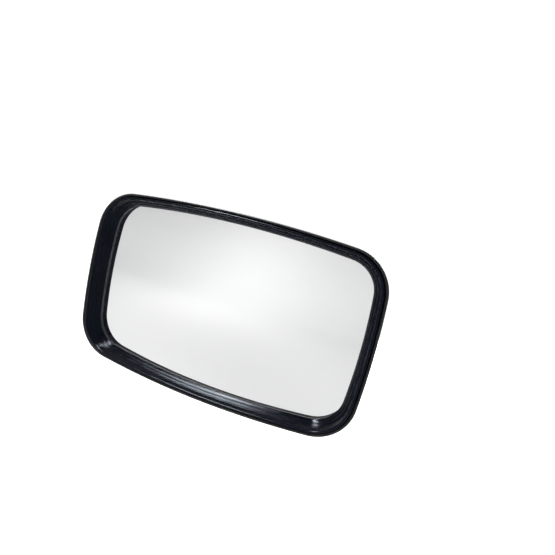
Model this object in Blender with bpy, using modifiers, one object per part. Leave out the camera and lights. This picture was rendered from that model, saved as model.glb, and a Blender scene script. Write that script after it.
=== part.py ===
"""Convex mirror head for an arm tube: a bowed rectangular housing with a rubber-framed convex glass,
and a round clamp disc in its back that grips the tube between two jaws and lets the head turn on it.

Metres, +Z up. The glass faces -Y. The origin is the centre of the tube clamp: the arm tube's axis crosses
the swivel axis there. The swivel axis is Y, and the tube leaves the head towards -X."""

import math

import bmesh
import bpy
from mathutils import Matrix

# Driving dimensions of the head, seen from the front.
HALF_WIDTH = 0.170
HALF_HEIGHT = 0.1045
CORNER_RADIUS = 0.045
SHORT_SIDE_BOW = 0.0062
LONG_SIDE_BOW = 0.0108
HEAD_CENTRE_X = 0.0324

# The sight line is where the gasket's lip meets the glass. Insets are measured at the short sides, and they
# shrink in proportion at the long sides.
SIGHT_HALF_WIDTH = 0.1565
SIGHT_HALF_HEIGHT = 0.0930
SIGHT_CORNER_RADIUS = 0.0325
SIGHT_INSET = HALF_WIDTH - SIGHT_HALF_WIDTH

# Places along Y, with the arm tube's axis at zero. The rim, the glass and the back are all domed, so for these
# a place is that of the apex, at the middle of the head.
CREST_Y = -0.0435
HOUSING_EDGE_Y = -0.0428
GLASS_CENTRE_Y = -0.0300
BACK_APEX_Y = 0.033
DISC_FACE_Y = 0.0308

# Shell, glass and gasket.
RIM_RADIUS = 2.570
GLASS_RADIUS = 1.800
BACK_RADIUS = 1.200
WALL = 0.003
WALL_LEAN = 0.0028
BACK_FILLET = 0.009
EDGE_CHAMFER = 0.0007
GLASS_THICKNESS = 0.003
GLASS_EDGE_INSET = 0.0076
FILM_THICKNESS = 0.0004
FILM_INSET = 0.0128
LIP_THICKNESS = 0.0014
GAP = 0.0003

# Disc, pocket and ledge, as radii and places along Y.
DISC_RADIUS = 0.0392
POCKET_RADIUS = 0.040
BOSS_RADIUS = 0.0435
LEDGE_HOLE_RADIUS = 0.035
LEDGE_TOP_Y = 0.0235
LEDGE_BOTTOM_Y = 0.0205
HUB_RADIUS = 0.0345
HUB_END_Y = 0.0173
FLANGE_BOTTOM_Y = 0.0253
PLATE_RADIUS = 0.042
PLATE_TOP_Y = 0.017
PLATE_BOTTOM_Y = 0.015

# Tube clamp. The screws' line leans off vertical with the disc.
CLAMP_TILT = math.radians(-6.5)
TUBE_RADIUS = 0.010
LINER_THICKNESS = 0.001
GROOVE_RADIUS = TUBE_RADIUS + LINER_THICKNESS + 0.0004
SCREW_OFFSET = 0.0235
JAW_HALF_LENGTH = 0.0335
JAW_HALF_WIDTH = 0.017
JAW_CORNER = 0.008
JAW_HALF_GAP = 0.003
OUTER_JAW_TOP_Y = PLATE_BOTTOM_Y - GAP
INNER_JAW_FRONT_Y = -0.015

# M8 socket head screw, washer and nut. The screw's clearance holes are 9 mm.
COUNTERBORE_RADIUS = 0.00875
COUNTERBORE_FLOOR_Y = 0.0198
CLEARANCE_RADIUS = 0.0045
WASHER_RADIUS = 0.008
WASHER_THICKNESS = 0.0016
WASHER_HOLE_RADIUS = 0.0043
HEAD_RADIUS = 0.0065
HEAD_HEIGHT = 0.008
HEAD_SEAT_Y = COUNTERBORE_FLOOR_Y + WASHER_THICKNESS + 2 * GAP
SHANK_RADIUS = 0.0039
SHANK_LENGTH = 0.040
SOCKET_WIDTH = 0.006
SOCKET_DEPTH = 0.004
NUT_WIDTH = 0.013
NUT_THICKNESS = 0.0065
NUT_FRONT_Y = INNER_JAW_FRONT_Y + GAP

# M4 pan head screws that hold the retaining plate on the disc's hub.
PLATE_SCREW_RADIUS = 0.0018
PLATE_SCREW_HOLE_RADIUS = 0.0022
PLATE_SCREW_HEAD_RADIUS = 0.0035
PLATE_SCREW_HEAD_HEIGHT = 0.0024
PLATE_SCREW_TIP_Y = 0.0238
PLATE_SCREW_CIRCLE = 0.0305
PLATE_SCREW_ANGLE = math.radians(50)
RECESS_WIDTH = 0.0025
RECESS_DEPTH = 0.0014

# Slot in the -X wall for the arm tube, and its rubber edging.
SLOT_HALF_WIDTH = 0.0118
SLOT_HALF_HEIGHT = 0.0315
GROMMET_LIP = 0.0011

# Facets.
SHORT_SIDE_STEPS = 3
CORNER_STEPS = 6
LONG_SIDE_STEPS = 4
FILLET_STEPS = 4
DOME_STEPS = 5
TURNED_STEPS = 48
SMALL_STEPS = 24
SMOOTH_ANGLE = math.radians(35)
MERGE_DISTANCE = 0.00001

LAY_ALONG_Y = Matrix.Rotation(math.radians(-90), 4, "X")
LAY_ALONG_X = Matrix.Rotation(math.radians(90), 4, "Y")


def clear_scene():
    for obj in list(bpy.data.objects):
        bpy.data.objects.remove(obj, do_unlink=True)


def new_collection(name):
    collection = bpy.data.collections.new(name)
    bpy.context.scene.collection.children.link(collection)
    return collection


def new_empty(name, rotation_y=0.0):
    empty = bpy.data.objects.new(name, None)
    empty.rotation_euler = (0.0, rotation_y, 0.0)
    head_collection.objects.link(empty)
    return empty


def finish(name, colour, roughness, metallic=0.0):
    material = bpy.data.materials.new(name)
    material.use_nodes = True
    shader = material.node_tree.nodes["Principled BSDF"]
    shader.inputs["Base Color"].default_value = (*colour, 1.0)
    shader.inputs["Roughness"].default_value = roughness
    shader.inputs["Metallic"].default_value = metallic
    return material


def object_from(bm, name, collection, location=(0.0, 0.0, 0.0)):
    mesh = bpy.data.meshes.new(name)
    bm.to_mesh(mesh)
    bm.free()
    obj = bpy.data.objects.new(name, mesh)
    obj.location = location
    collection.objects.link(obj)
    return obj


def make_piece(bm, name, material, parent, location=(0.0, 0.0, 0.0)):
    """A visible sub-part, shaded smooth except at its edges, riding on the empty that marks its joint."""
    obj = object_from(bm, name, head_collection, location)
    obj.data.materials.append(material)
    obj.data.shade_smooth()
    obj.data.set_sharp_from_angle(angle=SMOOTH_ANGLE)
    obj.parent = parent
    return obj


def make_cutter(bm, name, parent, location=(0.0, 0.0, 0.0)):
    obj = object_from(bm, name, cutter_collection, location)
    obj.parent = parent
    obj.hide_render = True
    obj.display_type = "WIRE"
    return obj


def boolean(obj, cutter, operation="DIFFERENCE"):
    modifier = obj.modifiers.new(cutter.name, "BOOLEAN")
    modifier.operation = operation
    modifier.solver = "EXACT"
    modifier.object = cutter


def solidify(obj, thickness):
    """Gives an open sheet its thickness, all of it behind the face that the sheet shows."""
    modifier = obj.modifiers.new("Thickness", "SOLIDIFY")
    modifier.thickness = thickness
    modifier.offset = -1.0
    modifier.use_even_offset = True


# Outlines and sheets


def bowed_outline(half_width, half_height, corner):
    """(x, z) points around a rectangle whose sides bow outwards and whose corners are round. Each side is an
    arc, and a corner's arc touches both of its neighbours without a kink."""
    short_radius = (half_height**2 + SHORT_SIDE_BOW**2) / (2 * SHORT_SIDE_BOW)
    long_radius = (half_width**2 + LONG_SIDE_BOW**2) / (2 * LONG_SIDE_BOW)
    short_centre_x = half_width - short_radius
    long_centre_z = half_height - long_radius
    # The corner's centre lies where two circles about the sides' centres meet.
    reach_short = short_radius - corner
    reach_long = long_radius - corner
    span = math.hypot(short_centre_x, long_centre_z)
    along = (reach_short**2 - reach_long**2 + span**2) / (2 * span)
    across = math.sqrt(reach_short**2 - along**2)
    unit_x, unit_z = -short_centre_x / span, long_centre_z / span
    corner_x = short_centre_x + along * unit_x - across * unit_z
    corner_z = along * unit_z + across * unit_x
    first_turn = math.atan2(corner_z, corner_x - short_centre_x)
    second_turn = math.atan2(corner_z - long_centre_z, corner_x)
    arcs = (
        (short_centre_x, 0.0, short_radius, 0.0, first_turn, SHORT_SIDE_STEPS),
        (corner_x, corner_z, corner, first_turn, second_turn, CORNER_STEPS),
        (0.0, long_centre_z, long_radius, second_turn, math.pi / 2, LONG_SIDE_STEPS),
    )
    quarter = []
    for centre_x, centre_z, radius, start, end, steps in arcs:
        for step in range(steps):
            angle = start + (end - start) * step / steps
            quarter.append((centre_x + radius * math.cos(angle), centre_z + radius * math.sin(angle)))
    top = (0.0, half_height)
    left = [(-x, z) for x, z in reversed(quarter)]
    upper = quarter + [top] + left
    lower = [(-x, -z) for x, z in upper[1:-1]]
    return upper + lower


def inset_ring(inset):
    """The head's outline moved inwards, on the way from the outer edge to the sight line."""
    share = inset / SIGHT_INSET
    return [
        (outer_x + (sight_x - outer_x) * share, outer_z + (sight_z - outer_z) * share)
        for (outer_x, outer_z), (sight_x, sight_z) in zip(OUTER_OUTLINE, SIGHT_OUTLINE)
    ]


def sphere_drop(x, z, radius):
    """How far a sphere falls away from its apex."""
    return radius - math.sqrt(radius**2 - x * x - z * z)


def back_y(x, z):
    return BACK_APEX_Y - sphere_drop(x, z, BACK_RADIUS)


def glass_y(x, z):
    return GLASS_CENTRE_Y + sphere_drop(x, z, GLASS_RADIUS)


def rim_ring(inset, apex_y):
    """A ring of the head's outline on the domed front of the rim."""
    return [(x, apex_y + sphere_drop(x, z, RIM_RADIUS), z) for x, z in inset_ring(inset)]


def bridge(rows, wrap=False):
    """A surface through rings of equal count. With wrap, the last ring joins the first."""
    bm = bmesh.new()
    rings = [[bm.verts.new(point) for point in row] for row in rows]
    followers = rings[1:] + ([rings[0]] if wrap else [])
    for ring, follower in zip(rings, followers):
        for i in range(len(ring)):
            j = (i + 1) % len(ring)
            bm.faces.new((ring[i], ring[j], follower[j], follower[i]))
    return bm, rings


def domed_rows(outline, height):
    """Rings that shrink from an outline towards the centre, and lie on a domed surface."""
    rows = []
    for step in range(DOME_STEPS):
        scale = 1.0 - step / DOME_STEPS
        rows.append([(x * scale, height(x * scale, z * scale), z * scale) for x, z in outline])
    return rows


def close_at_centre(bm, ring, point):
    pole = bm.verts.new(point)
    for i in range(len(ring)):
        bm.faces.new((ring[i], ring[(i + 1) % len(ring)], pole))


def face_towards(bm, direction_y):
    """Turns an open sheet so that its middle shows towards +Y or -Y."""
    bmesh.ops.recalc_face_normals(bm, faces=bm.faces)
    middle = min(bm.faces, key=lambda face: face.calc_center_median().xz.length)
    if middle.normal.y * direction_y < 0:
        bmesh.ops.reverse_faces(bm, faces=bm.faces)


# Primitives


def cylinder(radius, start, end, steps=SMALL_STEPS, lay=LAY_ALONG_Y):
    """A cylinder from start to end along the axis that `lay` turns Z into."""
    bm = bmesh.new()
    bmesh.ops.create_cone(
        bm, cap_ends=True, segments=steps, radius1=radius, radius2=radius, depth=end - start
    )
    bmesh.ops.translate(bm, verts=bm.verts, vec=(0.0, 0.0, (start + end) / 2))
    bmesh.ops.transform(bm, matrix=lay, verts=bm.verts)
    return bm


def hexagon(width, start, end):
    """A six-sided prism along Y, `width` across its flats, with two flats facing up and down."""
    bm = cylinder(width / math.sqrt(3), start, end, steps=6)
    bmesh.ops.rotate(bm, verts=bm.verts, matrix=Matrix.Rotation(math.radians(30), 3, "Y"))
    return bm


def rounded_block(half_x, half_z, corner, start, end):
    """A block along Y whose four long edges are round."""
    bm = bmesh.new()
    bmesh.ops.create_cube(bm, size=1.0)
    bmesh.ops.scale(bm, verts=bm.verts, vec=(2 * half_x, end - start, 2 * half_z))
    bmesh.ops.translate(bm, verts=bm.verts, vec=(0.0, (start + end) / 2, 0.0))
    long_edges = [edge for edge in bm.edges if abs(edge.verts[0].co.y - edge.verts[1].co.y) > GAP]
    bmesh.ops.bevel(bm, geom=long_edges, offset=corner, segments=6, profile=0.5, affect="EDGES")
    return bm


def turned(profile, name, material, parent, location=(0.0, 0.0, 0.0), steps=TURNED_STEPS):
    """A turned piece: (radius, y) points from the +Y end to the -Y end, swept about the Y axis."""
    bm = bmesh.new()
    points = [bm.verts.new((radius, 0.0, y)) for radius, y in profile]
    for start, end in zip(points, points[1:]):
        bm.edges.new((start, end))
    obj = make_piece(bm, name, material, parent, location)
    obj.rotation_euler = (math.radians(-90), 0.0, 0.0)
    screw = obj.modifiers.new("Turn", "SCREW")
    screw.axis = "Z"
    screw.steps = steps
    screw.render_steps = steps
    screw.use_merge_vertices = True
    screw.merge_threshold = MERGE_DISTANCE
    screw.use_smooth_shade = False
    return obj


def turned_ring(inner, outer, start, end, name, material, parent, location=(0.0, 0.0, 0.0), steps=TURNED_STEPS):
    """A flat ring with a square section."""
    profile = [(inner, end), (outer, end), (outer, start), (inner, start), (inner, end)]
    return turned(profile, name, material, parent, location, steps)


def hole_positions():
    """(x, z) of the plate screws: four, in pairs on both sides of each clamp screw."""
    for side_z in (1, -1):
        for side_x in (1, -1):
            yield (
                side_x * PLATE_SCREW_CIRCLE * math.sin(PLATE_SCREW_ANGLE),
                side_z * PLATE_SCREW_CIRCLE * math.cos(PLATE_SCREW_ANGLE),
            )


# Mirror head


def build_housing():
    """The shell's outer skin runs from its front edge down the side, round the back fillet and over the dome."""
    edge_front = rim_ring(EDGE_CHAMFER, HOUSING_EDGE_Y)
    edge_side = rim_ring(0.0, HOUSING_EDGE_Y + EDGE_CHAMFER)
    fillet_rows = [[] for _ in range(FILLET_STEPS + 1)]
    dome_edge = []
    reach = SIGHT_INSET
    near_ring = inset_ring(WALL_LEAN + BACK_FILLET)
    for index, (near_x, near_z) in enumerate(near_ring):
        outer_x, outer_z = OUTER_OUTLINE[index]
        inward_x, inward_z = SIGHT_OUTLINE[index][0] - outer_x, SIGHT_OUTLINE[index][1] - outer_z
        length = math.hypot(inward_x, inward_z)
        slope = math.asin(-(near_x * inward_x + near_z * inward_z) / length / BACK_RADIUS)
        end_angle = math.pi / 2 - slope
        end_inset = WALL_LEAN + BACK_FILLET * (1 - math.cos(end_angle))
        end_x = outer_x + inward_x * end_inset / reach
        end_z = outer_z + inward_z * end_inset / reach
        centre_y = back_y(end_x, end_z) - BACK_FILLET * math.sin(end_angle)
        for step, row in enumerate(fillet_rows):
            angle = end_angle * step / FILLET_STEPS
            inset = WALL_LEAN + BACK_FILLET * (1 - math.cos(angle))
            x = outer_x + inward_x * inset / reach
            z = outer_z + inward_z * inset / reach
            row.append((x, centre_y + BACK_FILLET * math.sin(angle), z))
        dome_edge.append((end_x, end_z))
    dome = domed_rows(dome_edge, back_y)
    bm, rings = bridge([edge_front, edge_side] + fillet_rows + dome[1:])
    close_at_centre(bm, rings[-1], (0.0, BACK_APEX_Y, 0.0))
    face_towards(bm, 1)
    housing = make_piece(bm, "housing", black_plastic, head_frame, (HEAD_CENTRE_X, 0.0, 0.0))
    solidify(housing, WALL)

    boss = cylinder(BOSS_RADIUS, LEDGE_BOTTOM_Y, DISC_FACE_Y, TURNED_STEPS)
    for vert in boss.verts:
        if vert.co.y > LEDGE_TOP_Y:
            vert.co.y = back_y(vert.co.x - HEAD_CENTRE_X, vert.co.z) - WALL / 2
    boolean(housing, make_cutter(boss, "boss", head_frame), "UNION")
    pocket = cylinder(POCKET_RADIUS, LEDGE_TOP_Y, BACK_APEX_Y + WALL, TURNED_STEPS)
    boolean(housing, make_cutter(pocket, "pocket", head_frame))
    ledge_hole = cylinder(LEDGE_HOLE_RADIUS, LEDGE_BOTTOM_Y - WALL, LEDGE_TOP_Y + WALL, TURNED_STEPS)
    boolean(housing, make_cutter(ledge_hole, "ledge_hole", head_frame))
    slot = [[(x, y, z) for y, z in slot_ring(0.0)] for x in (-HALF_WIDTH, -HALF_WIDTH + 8 * WALL)]
    bm, rings = bridge(slot)
    for ring in rings:
        bm.faces.new(ring)
    bmesh.ops.recalc_face_normals(bm, faces=bm.faces)
    boolean(housing, make_cutter(bm, "slot", head_frame, (HEAD_CENTRE_X, 0.0, 0.0)))


def slot_ring(offset):
    """(y, z) points around the arm slot's edge, moved outwards by an offset."""
    half_straight = SLOT_HALF_HEIGHT - SLOT_HALF_WIDTH
    radius = SLOT_HALF_WIDTH + offset
    points = []
    for side in (1, -1):
        for step in range(9):
            angle = math.pi * step / 8
            points.append((side * radius * math.cos(angle), side * (half_straight + radius * math.sin(angle))))
    return points


def side_wall_x(y, z):
    """The outer face of the -X wall, in the head's own frame. It leans inwards from the rim to the back."""
    bow_radius = (HALF_HEIGHT**2 + SHORT_SIDE_BOW**2) / (2 * SHORT_SIDE_BOW)
    edge_x = -HALF_WIDTH + (bow_radius - math.sqrt(bow_radius**2 - z * z))
    edge_y = HOUSING_EDGE_Y + sphere_drop(edge_x, z, RIM_RADIUS)
    fillet_y = back_y(edge_x, z) - BACK_FILLET
    return edge_x + WALL_LEAN * (y - edge_y) / (fillet_y - edge_y)


def build_grommet():
    """A rubber channel pressed over the slot's edge: (offset from the slot's edge, depth into the wall)."""
    inside = WALL + 2 * GAP
    section = (
        (-GROMMET_LIP, -GROMMET_LIP),
        (GROMMET_LIP, -GROMMET_LIP),
        (GROMMET_LIP, -2 * GAP),
        (-GAP, -2 * GAP),
        (-GAP, inside),
        (GROMMET_LIP, inside),
        (GROMMET_LIP, inside + GROMMET_LIP),
        (-GROMMET_LIP, inside + GROMMET_LIP),
    )
    rows = [[(side_wall_x(y, z) + depth, y, z) for y, z in slot_ring(offset)] for offset, depth in section]
    bm, _ = bridge(rows, wrap=True)
    bmesh.ops.recalc_face_normals(bm, faces=bm.faces)
    make_piece(bm, "slot_grommet", rubber, head_frame, (HEAD_CENTRE_X, 0.0, 0.0))


def build_domed_sheet(name, material, inset, front_offset, thickness):
    """A sheet bent to the glass's curve, `front_offset` behind the glass's front face."""
    rows = domed_rows(inset_ring(inset), lambda x, z: glass_y(x, z) + front_offset)
    bm, rings = bridge(rows)
    close_at_centre(bm, rings[-1], (0.0, GLASS_CENTRE_Y + front_offset, 0.0))
    face_towards(bm, -1)
    sheet = make_piece(bm, name, material, head_frame, (HEAD_CENTRE_X, 0.0, 0.0))
    solidify(sheet, thickness)


def build_gasket():
    """The gasket's section, from its outer shoulder over the crest, down to the lip on the glass, round the
    groove that holds the glass's edge, and back along the housing's wall. Depths are measured from the domed
    crest, and then from the glass's front."""
    shoulder_inset = 0.0038
    lip_tip_inset = SIGHT_INSET
    groove_inset = GLASS_EDGE_INSET - GAP
    back_lip_inset = FILM_INSET - 2 * GAP
    glass_back = GLASS_THICKNESS + GAP
    on_rim = (
        (shoulder_inset, 0.0030),
        (shoulder_inset, 0.0013),
        (0.0044, 0.0003),
        (0.0056, 0.0),
        (0.0073, 0.0009),
        (0.0087, 0.0032),
        (0.0098, 0.0066),
    )
    on_glass = (
        (0.0114, -0.0050),
        (0.0124, -0.0026),
        (lip_tip_inset, -0.0011),
        (lip_tip_inset, -GAP),
        (groove_inset, -GAP),
        (groove_inset, glass_back),
        (back_lip_inset, glass_back),
        (back_lip_inset, glass_back + LIP_THICKNESS),
        (shoulder_inset + 0.0014, glass_back + LIP_THICKNESS),
    )
    rows = [rim_ring(inset, CREST_Y + depth) for inset, depth in on_rim]
    for inset, depth in on_glass:
        rows.append([(x, glass_y(x, z) + depth, z) for x, z in inset_ring(inset)])
    bm, _ = bridge(rows, wrap=True)
    bmesh.ops.recalc_face_normals(bm, faces=bm.faces)
    make_piece(bm, "glass_gasket", rubber, head_frame, (HEAD_CENTRE_X, 0.0, 0.0))


# Clamp


def build_disc():
    profile = [
        (0.0, DISC_FACE_Y),
        (DISC_RADIUS - EDGE_CHAMFER, DISC_FACE_Y),
        (DISC_RADIUS, DISC_FACE_Y - EDGE_CHAMFER),
        (DISC_RADIUS, FLANGE_BOTTOM_Y),
        (HUB_RADIUS, FLANGE_BOTTOM_Y),
        (HUB_RADIUS, HUB_END_Y),
        (0.0, HUB_END_Y),
    ]
    disc = turned(profile, "clamp_disc", black_plastic, clamp_frame)
    for label, side in SCREWS:
        place = (0.0, 0.0, side * SCREW_OFFSET)
        counterbore = cylinder(COUNTERBORE_RADIUS, COUNTERBORE_FLOOR_Y, DISC_FACE_Y + WALL, TURNED_STEPS)
        boolean(disc, make_cutter(counterbore, f"counterbore_{label}", clamp_frame, place))
        boolean(disc, SCREW_HOLES[label])
    for hole in PLATE_HOLES:
        boolean(disc, hole)


def build_retaining_stack():
    """What holds the disc in the housing: a friction ring over the ledge, and a wave spring and plate under it."""
    turned_ring(
        LEDGE_HOLE_RADIUS + 2 * GAP, DISC_RADIUS - 2 * GAP,
        LEDGE_TOP_Y + GAP, FLANGE_BOTTOM_Y - GAP,
        "friction_ring", pale_plastic, clamp_frame,
    )
    plate_profile = [(0.0, PLATE_TOP_Y), (PLATE_RADIUS, PLATE_TOP_Y), (PLATE_RADIUS, PLATE_BOTTOM_Y)]
    plate_profile.append((0.0, PLATE_BOTTOM_Y))
    plate = turned(plate_profile, "retaining_plate", zinc_steel, clamp_frame)
    for hole in list(SCREW_HOLES.values()) + PLATE_HOLES:
        boolean(plate, hole)
    for number, (x, z) in enumerate(hole_positions(), start=1):
        build_plate_screw(f"plate_screw_{number}", (x, 0.0, z))


def build_plate_screw(name, location):
    head_top = PLATE_BOTTOM_Y - GAP
    head_bottom = head_top - PLATE_SCREW_HEAD_HEIGHT
    profile = [
        (0.0, PLATE_SCREW_TIP_Y),
        (PLATE_SCREW_RADIUS, PLATE_SCREW_TIP_Y),
        (PLATE_SCREW_RADIUS, head_top),
        (PLATE_SCREW_HEAD_RADIUS, head_top),
        (PLATE_SCREW_HEAD_RADIUS, head_top - PLATE_SCREW_HEAD_HEIGHT / 2),
        (PLATE_SCREW_HEAD_RADIUS * 0.7, head_bottom),
        (0.0, head_bottom),
    ]
    screw = turned(profile, name, zinc_steel, clamp_frame, location, SMALL_STEPS)
    recess = hexagon(RECESS_WIDTH, head_bottom - WALL, head_bottom + RECESS_DEPTH)
    boolean(screw, make_cutter(recess, f"{name}_recess", clamp_frame, location))


def build_wave_spring():
    """A ring of spring steel with four waves, between the plate and the ledge."""
    waves = 4
    inner, outer = LEDGE_HOLE_RADIUS + 0.001, PLATE_RADIUS - 0.001
    thickness = 0.0007
    middle = (PLATE_TOP_Y + LEDGE_BOTTOM_Y) / 2
    height = (LEDGE_BOTTOM_Y - PLATE_TOP_Y - thickness) / 2 - GAP
    rows = []
    for radius in (inner, outer):
        row = []
        for step in range(TURNED_STEPS):
            angle = 2 * math.pi * step / TURNED_STEPS
            y = middle + height * math.sin(waves * angle)
            row.append((radius * math.cos(angle), y, radius * math.sin(angle)))
        rows.append(row)
    bm, _ = bridge(rows)
    if bm.faces[:][0].normal.y < 0:
        bmesh.ops.reverse_faces(bm, faces=bm.faces)
    bm.normal_update()
    spring = make_piece(bm, "wave_spring", spring_steel, clamp_frame)
    modifier = spring.modifiers.new("Thickness", "SOLIDIFY")
    modifier.thickness = thickness
    modifier.offset = 0.0
    return spring


def build_jaw(name, start, end, parent):
    bm = rounded_block(JAW_HALF_WIDTH, JAW_HALF_LENGTH, JAW_CORNER, start, end)
    jaw = make_piece(bm, name, aluminium, parent)
    boolean(jaw, TUBE_GROOVE)
    for hole in SCREW_HOLES.values():
        boolean(jaw, hole)
    return jaw


def build_liner(name, side, parent):
    """A half shell in the jaw's groove, `side` +1 on the disc's side and -1 on the glass's."""
    half_angle = math.radians(66)
    steps = 14
    bm = bmesh.new()
    columns = []
    for step in range(steps + 1):
        angle = half_angle * (2 * step / steps - 1)
        y = side * (TUBE_RADIUS + GAP / 2) * math.cos(angle)
        z = (TUBE_RADIUS + GAP / 2) * math.sin(angle)
        columns.append([bm.verts.new((x, y, z)) for x in (-JAW_HALF_WIDTH, JAW_HALF_WIDTH)])
    for column, follower in zip(columns, columns[1:]):
        bm.faces.new((column[0], column[1], follower[1], follower[0]))
    bm.normal_update()
    middle = bm.faces[:][steps // 2]
    if middle.normal.y * side > 0:
        bmesh.ops.reverse_faces(bm, faces=bm.faces)
    liner = make_piece(bm, name, rubber, parent)
    solidify(liner, LINER_THICKNESS)


def build_clamp_screw(label, side):
    place = (0.0, 0.0, side * SCREW_OFFSET)
    head_top = HEAD_SEAT_Y + HEAD_HEIGHT
    tip = HEAD_SEAT_Y - SHANK_LENGTH
    profile = [
        (0.0, head_top),
        (HEAD_RADIUS - EDGE_CHAMFER, head_top),
        (HEAD_RADIUS, head_top - EDGE_CHAMFER),
        (HEAD_RADIUS, HEAD_SEAT_Y),
        (SHANK_RADIUS, HEAD_SEAT_Y),
        (SHANK_RADIUS, tip + EDGE_CHAMFER),
        (SHANK_RADIUS - EDGE_CHAMFER, tip),
        (0.0, tip),
    ]
    screw = turned(profile, f"clamp_screw_{label}", zinc_steel, clamp_frame, place, SMALL_STEPS)
    socket = hexagon(SOCKET_WIDTH, head_top - SOCKET_DEPTH, head_top + WALL)
    boolean(screw, make_cutter(socket, f"socket_{label}", clamp_frame, place))
    turned_ring(
        WASHER_HOLE_RADIUS, WASHER_RADIUS,
        COUNTERBORE_FLOOR_Y + GAP, COUNTERBORE_FLOOR_Y + GAP + WASHER_THICKNESS,
        f"washer_{label}", zinc_steel, clamp_frame, place, SMALL_STEPS,
    )


def build_nut(label, side):
    place = (0.0, 0.0, side * SCREW_OFFSET)
    nut = make_piece(
        hexagon(NUT_WIDTH, NUT_FRONT_Y, NUT_FRONT_Y + NUT_THICKNESS), f"nut_{label}", zinc_steel, jaw_frame, place
    )
    thread = cylinder(WASHER_HOLE_RADIUS, NUT_FRONT_Y - WALL, NUT_FRONT_Y + NUT_THICKNESS + WALL)
    boolean(nut, make_cutter(thread, f"nut_thread_{label}", jaw_frame, place))
    pocket = hexagon(
        NUT_WIDTH + 2 * GAP, INNER_JAW_FRONT_Y - WALL, NUT_FRONT_Y + NUT_THICKNESS + GAP
    )
    return make_cutter(pocket, f"nut_pocket_{label}", jaw_frame, place)


clear_scene()
head_collection = new_collection("convex_mirror_head")
cutter_collection = new_collection("cutters")

head_frame = new_empty("head_frame")
clamp_frame = new_empty("clamp_frame", CLAMP_TILT)
jaw_frame = new_empty("jaw_frame", CLAMP_TILT)

black_plastic = finish("black_plastic", (0.028, 0.029, 0.031), 0.55)
rubber = finish("black_rubber", (0.010, 0.011, 0.014), 0.35)
mirror = finish("mirror", (0.93, 0.94, 0.94), 0.02, 1.0)
film = finish("safety_film", (0.05, 0.05, 0.055), 0.5)
pale_plastic = finish("pale_plastic", (0.72, 0.71, 0.68), 0.4)
zinc_steel = finish("zinc_steel", (0.62, 0.63, 0.64), 0.28, 1.0)
spring_steel = finish("spring_steel", (0.35, 0.36, 0.38), 0.3, 1.0)
aluminium = finish("cast_aluminium", (0.66, 0.67, 0.68), 0.42, 1.0)

OUTER_OUTLINE = bowed_outline(HALF_WIDTH, HALF_HEIGHT, CORNER_RADIUS)
SIGHT_OUTLINE = bowed_outline(SIGHT_HALF_WIDTH, SIGHT_HALF_HEIGHT, SIGHT_CORNER_RADIUS)
SCREWS = (("upper", 1), ("lower", -1))

# Holes that several pieces share, along the clamp's screws.
SCREW_HOLES = {
    label: make_cutter(
        cylinder(CLEARANCE_RADIUS, -0.030, 0.030), f"hole_{label}", clamp_frame, (0.0, 0.0, side * SCREW_OFFSET)
    )
    for label, side in SCREWS
}
PLATE_HOLES = [
    make_cutter(
        cylinder(PLATE_SCREW_HOLE_RADIUS, PLATE_BOTTOM_Y - WALL, PLATE_SCREW_TIP_Y + GAP),
        f"plate_hole_{number}", clamp_frame, (x, 0.0, z),
    )
    for number, (x, z) in enumerate(hole_positions(), start=1)
]
TUBE_GROOVE = make_cutter(
    cylinder(GROOVE_RADIUS, -2 * JAW_HALF_WIDTH, 2 * JAW_HALF_WIDTH, TURNED_STEPS, LAY_ALONG_X),
    "tube_groove", clamp_frame,
)

build_housing()
build_grommet()
build_gasket()
build_domed_sheet("mirror_glass", mirror, GLASS_EDGE_INSET, 0.0, GLASS_THICKNESS)
build_domed_sheet("safety_film", film, FILM_INSET, GLASS_THICKNESS + GAP, FILM_THICKNESS)
build_disc()
build_retaining_stack()
build_wave_spring()
build_jaw("outer_jaw", JAW_HALF_GAP, OUTER_JAW_TOP_Y, clamp_frame)
inner_jaw = build_jaw("inner_jaw", INNER_JAW_FRONT_Y, -JAW_HALF_GAP, jaw_frame)
build_liner("outer_liner", 1, clamp_frame)
build_liner("inner_liner", -1, jaw_frame)
for screw_label, screw_side in SCREWS:
    build_clamp_screw(screw_label, screw_side)
    boolean(inner_jaw, build_nut(screw_label, screw_side))
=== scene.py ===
"""Looks of a convex mirror head: a black moulded housing with a rubber-framed convex glass, and a round clamp
disc in its back. Everything is in metres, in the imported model's frame: the glass faces -Y and +Z is up."""

import math

import bmesh
import bpy
from mathutils import Matrix, Vector


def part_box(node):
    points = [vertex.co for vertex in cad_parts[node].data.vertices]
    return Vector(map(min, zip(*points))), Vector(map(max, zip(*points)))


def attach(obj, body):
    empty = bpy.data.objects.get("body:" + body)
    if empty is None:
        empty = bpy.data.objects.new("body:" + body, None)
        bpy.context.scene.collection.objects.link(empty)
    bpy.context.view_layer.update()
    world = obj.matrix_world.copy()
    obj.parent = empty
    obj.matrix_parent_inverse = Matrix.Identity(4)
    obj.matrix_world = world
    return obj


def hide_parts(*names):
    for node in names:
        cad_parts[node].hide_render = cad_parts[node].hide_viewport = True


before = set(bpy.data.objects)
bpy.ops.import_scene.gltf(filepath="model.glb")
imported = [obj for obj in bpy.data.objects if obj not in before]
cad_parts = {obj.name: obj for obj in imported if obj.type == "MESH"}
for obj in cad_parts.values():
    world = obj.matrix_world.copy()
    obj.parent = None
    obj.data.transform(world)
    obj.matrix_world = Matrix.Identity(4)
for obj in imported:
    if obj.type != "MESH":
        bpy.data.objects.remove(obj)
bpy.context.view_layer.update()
HOUSING_LOW, HOUSING_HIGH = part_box("housing")
DISC_LOW, DISC_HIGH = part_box("clamp_disc")

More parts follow.
